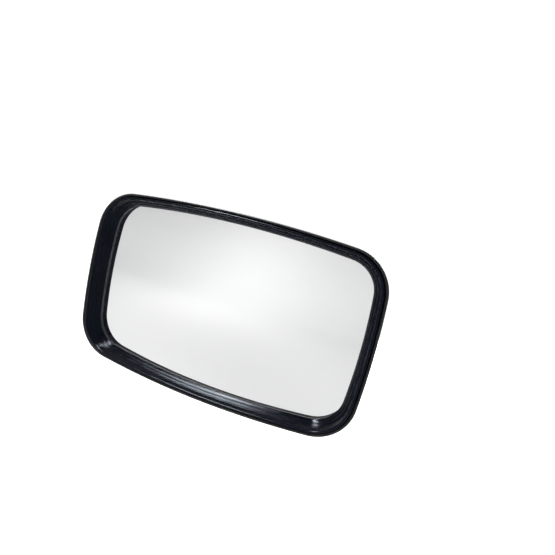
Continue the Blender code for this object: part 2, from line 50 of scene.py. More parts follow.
# Head: its outline, and the sight line where the gasket's lip meets the glass.
HEAD_X = (HOUSING_LOW.x + HOUSING_HIGH.x) / 2
HALF_WIDTH = (HOUSING_HIGH.x - HOUSING_LOW.x) / 2
HALF_HEIGHT = (HOUSING_HIGH.z - HOUSING_LOW.z) / 2
CORNER_RADIUS = 0.045
SHORT_SIDE_BOW = 0.0062
LONG_SIDE_BOW = 0.0108
SIGHT_HALF_WIDTH = 0.1565
SIGHT_HALF_HEIGHT = 0.0930
SIGHT_CORNER_RADIUS = 0.0325
SIGHT_INSET = HALF_WIDTH - SIGHT_HALF_WIDTH

# The rim, the glass and the back are domed, so these are the places of their apexes.
EDGE_Y = -0.0428
CREST_Y = -0.0435
GLASS_CENTRE_Y = -0.0300
APEX_Y = 0.0329
RIM_RADIUS = 2.570
GLASS_RADIUS = 1.800
BACK_RADIUS = 1.200
WALL = 0.003
WALL_LEAN = 0.0028
BACK_FILLET = 0.009
GLASS_EDGE_INSET = 0.0077
GLASS_THICKNESS = 0.003
EDGE_OUTER_ROUNDING = 0.0013
EDGE_INNER_ROUNDING = 0.0015

# Plain rings moulded on the back, in the head's own frame: (radius, half width, height).
RING_CENTRE_X = 0.104
RING_CENTRE_Z = 0.006
MOULDED_RINGS = ((0.0090, 0.0007, 0.00034), (0.0040, 0.0006, 0.00028))

# Clamp disc and its pocket.
DISC_RADIUS = (DISC_HIGH.x - DISC_LOW.x) / 2
DISC_FACE_Y = DISC_HIGH.y
HUB_END_Y = DISC_LOW.y
HUB_RADIUS = 0.0345
FLANGE_BOTTOM_Y = 0.0253
POCKET_RADIUS = 0.040
BOSS_RADIUS = 0.0435
LEDGE_TOP_Y = 0.0235
LEDGE_BOTTOM_Y = 0.0205
LEDGE_HOLE_RADIUS = 0.035
CLAMP_TILT = math.radians(-6.5)
SCREW_OFFSET = 0.0235
COUNTERBORE_RADIUS = 0.00875
COUNTERBORE_FLOOR_Y = 0.0198
CLEARANCE_RADIUS = 0.0045
HEAD_SEAT_Y = 0.022
HEAD_RADIUS = 0.0065
HEAD_HEIGHT = 0.008
SOCKET_WIDTH = 0.006
SOCKET_DEPTH = 0.0042
SOCKET_POINT_DEPTH = 0.0018
KNURL_RIDGES = 48
KNURL_DEPTH = 0.00022
SHANK_RADIUS = 0.0039
SHANK_LENGTH = 0.040
THREAD_PITCH = 0.00125
THREAD_LENGTH = 0.022
THREAD_DEPTH = 0.0007
THREAD_ROWS_PER_TURN = 5
NUT_WIDTH = 0.013

# Arm slot in the -X wall.
SLOT_HALF_WIDTH = 0.0118
SLOT_HALF_HEIGHT = 0.0315
GROMMET_LIP = 0.0011
SLOT_GAP = 0.0002

# Fineness of the surfaces.
SHORT_SIDE_STEPS = 10
CORNER_STEPS = 18
LONG_SIDE_STEPS = 20
DOME_STEPS = 26
FILLET_STEPS = 9
TURNED_STEPS = 144
SMALL_TURNED_STEPS = 96
SMOOTH_ANGLE = math.radians(32)

# The camera stands close, right of and above the head's middle, and is rolled.
SILHOUETTE_Y = EDGE_Y + 0.0003
CAMERA_LENS = 21.90
CAMERA_PLACE = (HEAD_X + 0.1405, SILHOUETTE_Y - 0.3265, 0.0892)
CAMERA_AIM = (HEAD_X + 0.0597, SILHOUETTE_Y, 0.0509)
CAMERA_ROLL = math.radians(14.03)

# The surround. Each pair of tones lies at the two heights, or the two depths, of its span.
OVERHEAD_SPAN = (0.62, 0.90)
OVERHEAD_TONES = (1.0, 0.10)
FRONT_SPAN = (0.0, 0.3)
FRONT_TONES = (0.88, 1.0)
SURROUND_STRENGTH = 1.02

# The floor, whose far end sweeps up into a wall, and its tones from the far end to the near one.
FLOOR_DROP = 0.15
FLOOR_HALF_WIDTH = 20.0
FLOOR_BACK_REACH = 20.0
SWEEP_START_Y = -1.05
SWEEP_RADIUS = 0.70
SWEEP_STEPS = 24
WALL_HEIGHT = 2.60
FLOOR_TONE_SPAN = (-1.30, 0.05)
FAR_TONE = 0.44
MIDDLE_TONE = 0.53
MIDDLE_TONE_SHARE = 0.76
NEAR_TONE = 0.90


# Shapes


def bowed_outline(half_width, half_height, corner):
    """(x, z) points around a rectangle with bowed sides and round corners, all tangent to each other."""
    short_radius = (half_height**2 + SHORT_SIDE_BOW**2) / (2 * SHORT_SIDE_BOW)
    long_radius = (half_width**2 + LONG_SIDE_BOW**2) / (2 * LONG_SIDE_BOW)
    short_centre_x = half_width - short_radius
    long_centre_z = half_height - long_radius
    reach_short = short_radius - corner
    reach_long = long_radius - corner
    span = math.hypot(short_centre_x, long_centre_z)
    along = (reach_short**2 - reach_long**2 + span**2) / (2 * span)
    across = math.sqrt(reach_short**2 - along**2)
    unit_x, unit_z = -short_centre_x / span, long_centre_z / span
    corner_x = short_centre_x + along * unit_x - across * unit_z
    corner_z = along * unit_z + across * unit_x
    first_turn = math.atan2(corner_z, corner_x - short_centre_x)
    second_turn = math.atan2(corner_z - long_centre_z, corner_x)
    arcs = (
        (short_centre_x, 0.0, short_radius, 0.0, first_turn, SHORT_SIDE_STEPS),
        (corner_x, corner_z, corner, first_turn, second_turn, CORNER_STEPS),
        (0.0, long_centre_z, long_radius, second_turn, math.pi / 2, LONG_SIDE_STEPS),
    )
    quarter = []
    for centre_x, centre_z, radius, start, end, steps in arcs:
        for step in range(steps):
            angle = start + (end - start) * step / steps
            quarter.append((centre_x + radius * math.cos(angle), centre_z + radius * math.sin(angle)))
    upper = quarter + [(0.0, half_height)] + [(-x, z) for x, z in reversed(quarter)]
    return upper + [(-x, -z) for x, z in upper[1:-1]]


OUTER_OUTLINE = bowed_outline(HALF_WIDTH, HALF_HEIGHT, CORNER_RADIUS)
SIGHT_OUTLINE = bowed_outline(SIGHT_HALF_WIDTH, SIGHT_HALF_HEIGHT, SIGHT_CORNER_RADIUS)


def inset_point(index, inset):
    """A point of the outline, moved inwards on its way to the sight line, in the head's own frame."""
    outer_x, outer_z = OUTER_OUTLINE[index]
    sight_x, sight_z = SIGHT_OUTLINE[index]
    share = inset / SIGHT_INSET
    return outer_x + (sight_x - outer_x) * share, outer_z + (sight_z - outer_z) * share


def inset_ring(inset):
    return [inset_point(index, inset) for index in range(len(OUTER_OUTLINE))]


def sphere_drop(x, z, radius):
    return radius - math.sqrt(radius**2 - x * x - z * z)


def back_y(x, z, skin=0.0):
    return APEX_Y - skin - sphere_drop(x, z, BACK_RADIUS)


def glass_y(x, z):
    return GLASS_CENTRE_Y + sphere_drop(x, z, GLASS_RADIUS)


def rim_y(x, z, apex):
    return apex + sphere_drop(x, z, RIM_RADIUS)


def chaikin(points, rounds):
    """Cuts the corners of a closed polygon, which makes it a smooth curve inside its corners."""
    for _ in range(rounds):
        cut = []
        for point, follower in zip(points, points[1:] + points[:1]):
            cut.append(tuple(a * 0.75 + b * 0.25 for a, b in zip(point, follower)))
            cut.append(tuple(a * 0.25 + b * 0.75 for a, b in zip(point, follower)))
        points = cut
    return points


def filleted(points, steps=4):
    """Rounds a (radius, y) profile at each point that carries a fillet radius as a third number."""
    profile = []
    for index, point in enumerate(points):
        here = Vector(point[:2])
        radius = point[2] if len(point) > 2 else 0.0
        if not radius:
            profile.append(tuple(here))
            continue
        back = (Vector(points[index - 1][:2]) - here).normalized()
        ahead = (Vector(points[(index + 1) % len(points)][:2]) - here).normalized()
        half_angle = back.angle(ahead) / 2
        reach = radius / math.tan(half_angle)
        centre = here + (back + ahead).normalized() * radius / math.sin(half_angle)
        start, end = here + back * reach - centre, here + ahead * reach - centre
        sweep = math.atan2(start.x * end.y - start.y * end.x, start.dot(end))
        for step in range(steps + 1):
            turn = Matrix.Rotation(sweep * step / steps, 2)
            profile.append(tuple(centre + turn @ start))
    return profile


def bridged(rows, wrap=False, first_pole=None, last_pole=None):
    """A mesh through rings of equal count. Wrap joins the last ring to the first. A pole closes an end."""
    bm = bmesh.new()
    rings = [[bm.verts.new(point) for point in row] for row in rows]
    count = len(rings[0])
    followers = rings[1:] + (rings[:1] if wrap else [])
    for ring, follower in zip(rings, followers):
        for i in range(count):
            j = (i + 1) % count
            bm.faces.new((ring[i], ring[j], follower[j], follower[i]))
    for pole, ring in ((first_pole, rings[0]), (last_pole, rings[-1])):
        if pole is not None:
            tip = bm.verts.new(pole)
            for i in range(count):
                bm.faces.new((ring[i], ring[(i + 1) % count], tip))
    bmesh.ops.recalc_face_normals(bm, faces=bm.faces)
    return bm


def circle(radius, y, steps=TURNED_STEPS):
    """A ring about the Y axis. The radius may be a function of the angle."""
    points = []
    for step in range(steps):
        angle = 2 * math.pi * step / steps
        reach = radius(angle) if callable(radius) else radius
        points.append((reach * math.cos(angle), y, reach * math.sin(angle)))
    return points


def turned(profile, steps=TURNED_STEPS):
    """A solid of revolution about Y. Its profile starts and ends on the axis, or closes as a ring."""
    if profile[0][0] > 0.0:
        return bridged([circle(radius, y, steps) for radius, y in profile], wrap=True)
    rows = [circle(radius, y, steps) for radius, y in profile[1:-1]]
    return bridged(rows, first_pole=(0.0, profile[0][1], 0.0), last_pole=(0.0, profile[-1][1], 0.0))


def hexagon_radius(width):
    """The reach of a hexagon at an angle, with flats facing up and down."""

    def reach(angle):
        return width / 2 / math.cos((angle + math.pi / 6 + math.pi / 2) % (math.pi / 3) - math.pi / 6)

    return reach


def place_on_clamp(bm, z=0.0):
    """Moves a shape made about the Y axis to a place on the tilted clamp."""
    bmesh.ops.translate(bm, verts=bm.verts, vec=(0.0, 0.0, z))
    bmesh.ops.rotate(bm, verts=bm.verts, matrix=Matrix.Rotation(CLAMP_TILT, 3, "Y"))
    return bm


def place_on_head(bm):
    bmesh.ops.translate(bm, verts=bm.verts, vec=(HEAD_X, 0.0, 0.0))
    return bm


def new_object(bm, name):
    mesh = bpy.data.meshes.new(name)
    bm.to_mesh(mesh)
    bm.free()
    obj = bpy.data.objects.new(name, mesh)
    bpy.context.scene.collection.objects.link(obj)
    return obj


def smooth(obj):
    obj.data.shade_smooth()
    obj.data.set_sharp_from_angle(angle=SMOOTH_ANGLE)


def make_piece(bm, name, material, body, slot, *nodes):
    """A finished piece that rides on a body and stands for the CAD nodes named."""
    obj = new_object(bm, name)
    obj.data.materials.append(material)
    smooth(obj)
    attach(obj, body)
    if nodes:
        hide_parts(*nodes)
    return obj


def cut(obj, *cutters, operation="DIFFERENCE"):
    """Cuts or joins shapes for good, so that no cutter stays in the scene."""
    for bm in cutters:
        cutter = new_object(bm, "cutter")
        modifier = obj.modifiers.new("Cut", "BOOLEAN")
        modifier.operation = operation
        modifier.solver = "EXACT"
        modifier.object = cutter
        evaluated = obj.evaluated_get(bpy.context.evaluated_depsgraph_get())
        cut_mesh = bpy.data.meshes.new_from_object(evaluated)
        obj.modifiers.clear()
        old_mesh = obj.data
        obj.data = cut_mesh
        bpy.data.meshes.remove(old_mesh)
        bpy.data.objects.remove(cutter, do_unlink=True)
    smooth(obj)


# Materials


class Finish:
    """A Principled material with procedural colour, roughness and relief in the object's own coordinates."""

    def __init__(self, name, colour, roughness, metallic=0.0, specular=0.5):
        self.material = bpy.data.materials.new(name)
        self.material.use_nodes = True
        self.nodes = self.material.node_tree.nodes
        self.links = self.material.node_tree.links
        self.shader = self.nodes["Principled BSDF"]
        self.shader.inputs["Base Color"].default_value = (*colour, 1.0)
        self.shader.inputs["Roughness"].default_value = roughness
        self.shader.inputs["Metallic"].default_value = metallic
        self.shader.inputs["Specular IOR Level"].default_value = specular
        self.place = self.nodes.new("ShaderNodeTexCoord").outputs["Object"]

    def noise(self, size, detail=3.0, stretch=(1.0, 1.0, 1.0)):
        """Noise whose features are about `size` metres across."""
        mapping = self.nodes.new("ShaderNodeMapping")
        mapping.inputs["Scale"].default_value = stretch
        self.links.new(self.place, mapping.inputs["Vector"])
        texture = self.nodes.new("ShaderNodeTexNoise")
        texture.inputs["Scale"].default_value = 1.0 / size
        texture.inputs["Detail"].default_value = detail
        self.links.new(mapping.outputs["Vector"], texture.inputs["Vector"])
        return texture.outputs["Fac"]

    def grain(self, size):
        """The rounded cells of a spark-eroded mould."""
        texture = self.nodes.new("ShaderNodeTexVoronoi")
        texture.feature = "SMOOTH_F1"
        texture.inputs["Scale"].default_value = 1.0 / size
        self.links.new(self.place, texture.inputs["Vector"])
        return texture.outputs["Distance"]

    def ranged(self, value, low, high, start=0.3, end=0.7):
        node = self.nodes.new("ShaderNodeMapRange")
        node.inputs["From Min"].default_value = start
        node.inputs["From Max"].default_value = end
        node.inputs["To Min"].default_value = low
        node.inputs["To Max"].default_value = high
        self.links.new(value, node.inputs["Value"])
        return node.outputs["Result"]

    def colours(self, value, low, high, start=0.35, end=0.65):
        ramp = self.nodes.new("ShaderNodeValToRGB")
        ramp.color_ramp.elements[0].position = start
        ramp.color_ramp.elements[0].color = (*low, 1.0)
        ramp.color_ramp.elements[1].position = end
        ramp.color_ramp.elements[1].color = (*high, 1.0)
        self.links.new(value, ramp.inputs["Fac"])
        self.links.new(ramp.outputs["Color"], self.shader.inputs["Base Color"])
        return ramp.color_ramp

    def roughness(self, value, low, high):
        self.links.new(self.ranged(value, low, high), self.shader.inputs["Roughness"])

    def relief(self, *layers):
        """Bumps on top of each other: (height, depth in metres) pairs."""
        normal = None
        for height, depth in layers:
            bump = self.nodes.new("ShaderNodeBump")
            bump.inputs["Distance"].default_value = depth
            self.links.new(height, bump.inputs["Height"])
            if normal is not None:
                self.links.new(normal, bump.inputs["Normal"])
            normal = bump.outputs["Normal"]
        self.links.new(normal, self.shader.inputs["Normal"])


def housing_plastic():
    finish = Finish("housing_plastic", (0.011, 0.0115, 0.0125), 0.42, specular=0.26)
    finish.colours(finish.noise(0.060, 4.0), (0.008, 0.0085, 0.0095), (0.014, 0.0147, 0.0160))
    finish.roughness(finish.noise(0.012, 5.0), 0.36, 0.46)
    finish.relief((finish.grain(0.0011), 0.00006), (finish.noise(0.0004, 2.0), 0.00002))
    return finish.material


def disc_plastic():
    finish = Finish("disc_plastic", (0.014, 0.015, 0.016), 0.38, specular=0.30)
    finish.colours(finish.noise(0.020, 6.0), (0.010, 0.0106, 0.0116), (0.019, 0.0202, 0.0216))
    finish.roughness(finish.noise(0.006, 5.0, (4.0, 1.0, 1.0)), 0.34, 0.48)
    finish.relief((finish.noise(0.0009, 3.0, (3.0, 1.0, 1.0)), 0.00003), (finish.noise(0.010, 4.0), 0.00010))
    return finish.material


def gasket_rubber():
    finish = Finish("gasket_rubber", (0.0025, 0.0032, 0.0080), 0.18)
    finish.shader.inputs["IOR"].default_value = 1.18
    finish.shader.inputs["Specular Tint"].default_value = (0.78, 0.88, 1.0, 1.0)
    finish.colours(finish.noise(0.030, 4.0), (0.0018, 0.0024, 0.0064), (0.0032, 0.0040, 0.0096))
    finish.roughness(finish.noise(0.010, 5.0), 0.15, 0.23)
    finish.relief((finish.noise(0.0040, 3.0), 0.000008))
    return finish.material


def dull_rubber(name, level):
    finish = Finish(name, (level, level, level * 1.05), 0.6, specular=0.4)
    finish.colours(finish.noise(0.008, 4.0), (level * 0.8,) * 3, (level * 1.3,) * 3)
    finish.roughness(finish.noise(0.004, 4.0), 0.5, 0.7)
    finish.relief((finish.noise(0.0007, 3.0), 0.00004))
    return finish.material


def mirror_silver():
    finish = Finish("mirror_silver", (0.84, 0.85, 0.85), 0.01, metallic=1.0)
    finish.colours(finish.noise(0.150, 2.0), (0.835, 0.838, 0.842), (0.845, 0.846, 0.850))
    finish.roughness(finish.noise(0.050, 3.0), 0.005, 0.02)
    return finish.material


def film_material():
    finish = Finish("safety_film", (0.05, 0.05, 0.055), 0.5)
    finish.colours(finish.noise(0.030), (0.04, 0.04, 0.045), (0.06, 0.06, 0.066))
    finish.roughness(finish.noise(0.010), 0.42, 0.58)
    finish.relief((finish.noise(0.0030), 0.00005))
    return finish.material


def metal(name, dark, light, rough_low, rough_high, grain_size, grain_depth):
    finish = Finish(name, light, rough_low, metallic=1.0)
    finish.colours(finish.noise(0.004, 5.0), dark, light)
    finish.roughness(finish.noise(0.0015, 4.0), rough_low, rough_high)
    finish.relief((finish.noise(grain_size, 3.0), grain_depth))
    return finish.material


def screw_metal():
    """Bright steel with painted shade: below the top of the head, its socket and knurl are darkened to near
    black in the colour.
    """
    finish = Finish("screw_steel", (0.30, 0.31, 0.33), 0.25, metallic=1.0)
    split = finish.nodes.new("ShaderNodeSeparateXYZ")
    finish.links.new(finish.place, split.inputs["Vector"])
    head_top = HEAD_SEAT_Y + HEAD_HEIGHT
    tone_and_painted_shade = finish.nodes.new("ShaderNodeMath")
    tone_and_painted_shade.operation = "MULTIPLY"
    # Painted shade: the colour falls to near black below the top of the head, over the socket and the knurl,
    # and the noise adds random tone.
    height = finish.ranged(split.outputs["Y"], 0.0, 1.0, head_top - 0.0010, head_top - 0.0004)
    finish.links.new(height, tone_and_painted_shade.inputs[0])
    finish.links.new(finish.ranged(finish.noise(0.002, 4.0), 0.7, 1.0), tone_and_painted_shade.inputs[1])
    finish.colours(tone_and_painted_shade.outputs["Value"], (0.020, 0.020, 0.022), (0.46, 0.47, 0.49), 0.0, 1.0)
    finish.roughness(finish.noise(0.0015, 4.0), 0.18, 0.32)
    finish.relief((finish.noise(0.0005, 3.0), 0.00001))
    return finish.material


def bearing_plastic():
    finish = Finish("bearing_plastic", (0.72, 0.71, 0.68), 0.4)
    finish.colours(finish.noise(0.010), (0.66, 0.65, 0.61), (0.75, 0.74, 0.71))
    finish.roughness(finish.noise(0.004), 0.35, 0.5)
    finish.relief((finish.noise(0.0008), 0.00002))
    return finish.material


# Mirror head


def skin_rows(skin):
    """Rings of one side of the shell, from its front edge over the back fillet to the middle of the dome."""
    fillet_radius = BACK_FILLET - skin
    arc_inset = WALL_LEAN + skin
    wall_rows = 6
    rows = [[] for _ in range(wall_rows + FILLET_STEPS)]
    dome_edge = []
    for index in range(len(OUTER_OUTLINE)):
        outer = Vector(OUTER_OUTLINE[index])
        near = Vector(inset_point(index, arc_inset + fillet_radius))
        inward = (Vector(SIGHT_OUTLINE[index]) - outer).normalized()
        end_angle = math.pi / 2 - math.asin(-near.dot(inward) / BACK_RADIUS)
        end_x, end_z = inset_point(index, arc_inset + fillet_radius * (1 - math.cos(end_angle)))
        centre_y = back_y(end_x, end_z, skin) - fillet_radius * math.sin(end_angle)
        edge_y = rim_y(outer.x, outer.y, EDGE_Y)
        start_y = edge_y + 2 * WALL / 3
        for step in range(wall_rows):
            y = start_y + (centre_y - start_y) * step / wall_rows
            x, z = inset_point(index, skin + WALL_LEAN * (y - edge_y) / (centre_y - edge_y))
            rows[step].append((x, y, z))
        for step in range(FILLET_STEPS):
            angle = end_angle * step / FILLET_STEPS
            x, z = inset_point(index, arc_inset + fillet_radius * (1 - math.cos(angle)))
            rows[wall_rows + step].append((x, centre_y + fillet_radius * math.sin(angle), z))
        dome_edge.append((end_x, end_z))
    for step in range(DOME_STEPS):
        scale = 1.0 - step / DOME_STEPS
        rows.append([(x * scale, back_y(x * scale, z * scale, skin), z * scale) for x, z in dome_edge])
    return rows


def front_edge_rows():
    """The housing's front edge: an inner and an outer rounding that nearly meet."""
    inner, outer = EDGE_INNER_ROUNDING, EDGE_OUTER_ROUNDING
    inner_steps, outer_steps = 5, 7
    profile = []
    for step in range(inner_steps):
        angle = math.pi / 2 * step / inner_steps
        profile.append((WALL - inner + inner * math.cos(angle), inner * (1 - math.sin(angle))))
    for step in range(outer_steps + 1):
        angle = math.pi / 2 * (1 - step / outer_steps)
        profile.append((outer - outer * math.cos(angle), outer * (1 - math.sin(angle))))
    return [[(x, rim_y(x, z, EDGE_Y + depth), z) for x, z in inset_ring(inset)] for inset, depth in profile]


def pocket_cutter():
    """Opens the pocket for the disc, with an edge that is rounded where it meets the domed back."""
    rounding = 0.0006
    rows = [circle(POCKET_RADIUS, LEDGE_TOP_Y)]
    steps = 5
    for step in range(steps + 1):
        angle = math.pi / 2 * step / steps
        reach = POCKET_RADIUS + rounding * (1 - math.cos(angle))
        depth = rounding * (1 - math.sin(angle))
        rows.append([(x, back_y(x - HEAD_X, z) - depth, z) for x, _, z in circle(reach, 0.0)])
    rows.append(circle(POCKET_RADIUS + rounding, APEX_Y + 2 * WALL))
    return bridged(rows, first_pole=(0.0, LEDGE_TOP_Y, 0.0), last_pole=(0.0, APEX_Y + 2 * WALL, 0.0))


def slot_ring(offset, steps=18, straight_steps=8):
    """(y, z) points around the arm slot's edge, moved outwards by an offset."""
    half_straight = SLOT_HALF_HEIGHT - SLOT_HALF_WIDTH
    radius = SLOT_HALF_WIDTH + offset
    points = []
    for side in (1, -1):
        for step in range(steps + 1):
            angle = math.pi * step / steps
            y = side * radius * math.cos(angle)
            points.append((y, side * (half_straight + radius * math.sin(angle))))
        for step in range(1, straight_steps):
            points.append((-side * radius, side * half_straight * (1 - 2 * step / straight_steps)))
    return points


def side_wall_x(y, z):
    """The outer face of the -X wall, in the head's own frame."""
    bow_radius = (HALF_HEIGHT**2 + SHORT_SIDE_BOW**2) / (2 * SHORT_SIDE_BOW)
    edge_x = -HALF_WIDTH + (bow_radius - math.sqrt(bow_radius**2 - z * z))
    edge_y = rim_y(edge_x, z, EDGE_Y)
    fillet_y = back_y(edge_x, z) - BACK_FILLET
    return edge_x + WALL_LEAN * (y - edge_y) / (fillet_y - edge_y)


def slot_cutter():
    rows = [[(x, y, z) for y, z in slot_ring(0.0)] for x in (-HALF_WIDTH - WALL, -HALF_WIDTH + 5 * WALL)]
    poles = [(row[0][0], 0.0, 0.0) for row in rows]
    return place_on_head(bridged(rows, first_pole=poles[0], last_pole=poles[1]))


def disc_boss():
    """The collar and ledge inside the shell that carry the disc."""
    rows = [
        circle(LEDGE_HOLE_RADIUS, LEDGE_TOP_Y),
        circle(LEDGE_HOLE_RADIUS, LEDGE_BOTTOM_Y),
        circle(BOSS_RADIUS, LEDGE_BOTTOM_Y),
        [(x, back_y(x - HEAD_X, z) - WALL / 2, z) for x, _, z in circle(BOSS_RADIUS, 0.0)],
        [(x, back_y(x - HEAD_X, z) - WALL / 2, z) for x, _, z in circle(POCKET_RADIUS - 0.002, 0.0)],
        circle(POCKET_RADIUS - 0.002, LEDGE_TOP_Y),
    ]
    return bridged(rows, wrap=True)


def build_housing(material):
    inner, outer = skin_rows(WALL), skin_rows(0.0)
    rows = list(reversed(inner)) + front_edge_rows() + outer
    bm = bridged(rows, first_pole=(0.0, APEX_Y - WALL, 0.0), last_pole=(0.0, APEX_Y, 0.0))
    housing = make_piece(
        place_on_head(bm), "housing_shell", material, "mirror_head", "housing_plastic", "housing"
    )
    cut(housing, disc_boss(), operation="UNION")
    hole = turned([
        (0.0, LEDGE_BOTTOM_Y - WALL),
        (LEDGE_HOLE_RADIUS, LEDGE_BOTTOM_Y - WALL),
        (LEDGE_HOLE_RADIUS, LEDGE_TOP_Y + WALL),
        (0.0, LEDGE_TOP_Y + WALL),
    ])
    cut(housing, pocket_cutter(), hole, slot_cutter())


def build_moulded_rings(material):
    """Plain rings with a rounded section, moulded on the back, far from the clamp."""
    section_steps, ring_steps = 12, 72
    for number, (radius, width, height) in enumerate(MOULDED_RINGS, 1):
        rows = []
        for step in range(section_steps):
            angle = 2 * math.pi * step / section_steps
            row = []
            for x, _, z in circle(radius + width * math.cos(angle), 0.0, ring_steps):
                x, z = x + RING_CENTRE_X, z + RING_CENTRE_Z
                row.append((x, back_y(x, z) + height * math.sin(angle), z))
            rows.append(row)
        bm = place_on_head(bridged(rows, wrap=True))
        make_piece(bm, f"moulded_ring_{number}", material, "mirror_head", "housing_plastic")


def build_gasket(material):
    """The rubber profile, as (inset from the head's outline, depth) points.

    Its front follows the domed rim, and the rest follows the curved glass."""
    wall_side = WALL + 0.0004
    smoothing_rounds = 2
    on_rim = (
        (wall_side, 0.0040),
        (wall_side, 0.0022),
        (0.0040, 0.0012),
        (0.0046, 0.0004),
        (0.0053, 0.0001),
        (0.0062, 0.0000),
        (0.0067, 0.0003),
        (0.0070, 0.0008),
        (0.0071, 0.0014),
    )
    on_glass = (
        (0.0079, -0.0086),
        (0.0082, -0.0078),
        (0.0089, -0.0075),
        (0.0096, -0.0067),
        (0.0101, -0.0056),
        (0.0103, -0.0048),
        (0.0109, -0.0046),
        (0.0116, -0.0038),
        (0.0122, -0.0025),
        (0.0128, -0.0012),
        (0.0130, -0.0003),
        (0.0135, -0.0001),
        (0.0130, 0.0000),
        (GLASS_EDGE_INSET - 0.0002, 0.0000),
        (GLASS_EDGE_INSET - 0.0006, 0.0004),
        (GLASS_EDGE_INSET - 0.0006, GLASS_THICKNESS),
        (GLASS_EDGE_INSET - 0.0002, GLASS_THICKNESS + 0.0003),
        (0.0122, GLASS_THICKNESS + 0.0002),
        (0.0122, GLASS_THICKNESS + 0.0016),
        (wall_side + 0.0016, GLASS_THICKNESS + 0.0016),
    )
    columns = []
    for index in range(len(OUTER_OUTLINE)):
        points = []
        for inset, depth in on_rim:
            x, z = inset_point(index, inset)
            points.append((x, rim_y(x, z, CREST_Y + depth), z))
        for inset, depth in on_glass:
            x, z = inset_point(index, inset)
            points.append((x, glass_y(x, z) + depth, z))
        columns.append(chaikin(points, smoothing_rounds))
    rows = [list(row) for row in zip(*columns)]
    bm = place_on_head(bridged(rows, wrap=True))
    make_piece(bm, "gasket_profile", material, "mirror_head", "gasket_rubber", "glass_gasket")


def build_glass(material):
    """A convex pane with ground edges."""
    grind = 0.0004
    rings = 40

    def sheet(offset):
        edge = inset_ring(GLASS_EDGE_INSET + grind)
        made = []
        for step in range(rings):
            scale = 1.0 - step / rings
            made.append([(x * scale, glass_y(x * scale, z * scale) + offset, z * scale) for x, z in edge])
        return made

    def edge_ring(depth):
        return [(x, glass_y(x, z) + depth, z) for x, z in inset_ring(GLASS_EDGE_INSET)]

    front, back = sheet(0.0), sheet(GLASS_THICKNESS)
    rows = list(reversed(front)) + [edge_ring(grind), edge_ring(GLASS_THICKNESS - grind)] + back
    bm = bridged(
        rows,
        first_pole=(0.0, GLASS_CENTRE_Y, 0.0),
        last_pole=(0.0, GLASS_CENTRE_Y + GLASS_THICKNESS, 0.0),
    )
    make_piece(place_on_head(bm), "convex_glass", material, "mirror_head", "mirror", "mirror_glass")


def build_grommet(material):
    """A rubber channel over the slot's edge. Its section is (offset, depth into the wall) points."""
    section = (
        (-GROMMET_LIP, -GROMMET_LIP),
        (GROMMET_LIP, -GROMMET_LIP),
        (GROMMET_LIP, 0.0),
        (-SLOT_GAP, 0.0),
        (-SLOT_GAP, WALL),
        (GROMMET_LIP, WALL),
        (GROMMET_LIP, WALL + GROMMET_LIP),
        (-GROMMET_LIP, WALL + GROMMET_LIP),
    )
    smoothing_rounds = 2
    rings = [[(side_wall_x(y, z) + depth, y, z) for y, z in slot_ring(offset)] for offset, depth in section]
    columns = [chaikin(list(column), smoothing_rounds) for column in zip(*rings)]
    rows = [list(row) for row in zip(*columns)]
    bm = place_on_head(bridged(rows, wrap=True))
    make_piece(bm, "slot_edging", material, "mirror_head", "grommet_rubber", "slot_grommet")


# Clamp


def counterbore(z):
    """A counterbore and clearance hole for a clamp screw, with rounded mouths."""
    flare = 0.0005
    profile = filleted([
        (0.0, HUB_END_Y - WALL),
        (CLEARANCE_RADIUS, HUB_END_Y - WALL),
        (CLEARANCE_RADIUS, COUNTERBORE_FLOOR_Y),
        (COUNTERBORE_RADIUS, COUNTERBORE_FLOOR_Y, 0.0004),
        (COUNTERBORE_RADIUS, DISC_FACE_Y, flare),
        (COUNTERBORE_RADIUS + 4 * flare, DISC_FACE_Y),
        (COUNTERBORE_RADIUS + 4 * flare, DISC_FACE_Y + WALL),
        (0.0, DISC_FACE_Y + WALL),
    ])
    return place_on_clamp(turned(profile, SMALL_TURNED_STEPS), z=z)


def build_disc(material):
    profile = filleted([
        (0.0, DISC_FACE_Y),
        (DISC_RADIUS, DISC_FACE_Y, 0.0006),
        (DISC_RADIUS, FLANGE_BOTTOM_Y, 0.0003),
        (HUB_RADIUS, FLANGE_BOTTOM_Y),
        (HUB_RADIUS, HUB_END_Y, 0.0004),
        (0.0, HUB_END_Y),
    ])
    bm = place_on_clamp(turned(profile))
    disc = make_piece(bm, "swivel_disc", material, "clamp", "disc_plastic", "clamp_disc")
    cut(disc, counterbore(SCREW_OFFSET), counterbore(-SCREW_OFFSET))


def knurled(angle):
    """A socket head's knurl: fine ridges round its side."""
    return HEAD_RADIUS - KNURL_DEPTH * (0.5 + 0.5 * math.cos(KNURL_RIDGES * angle))


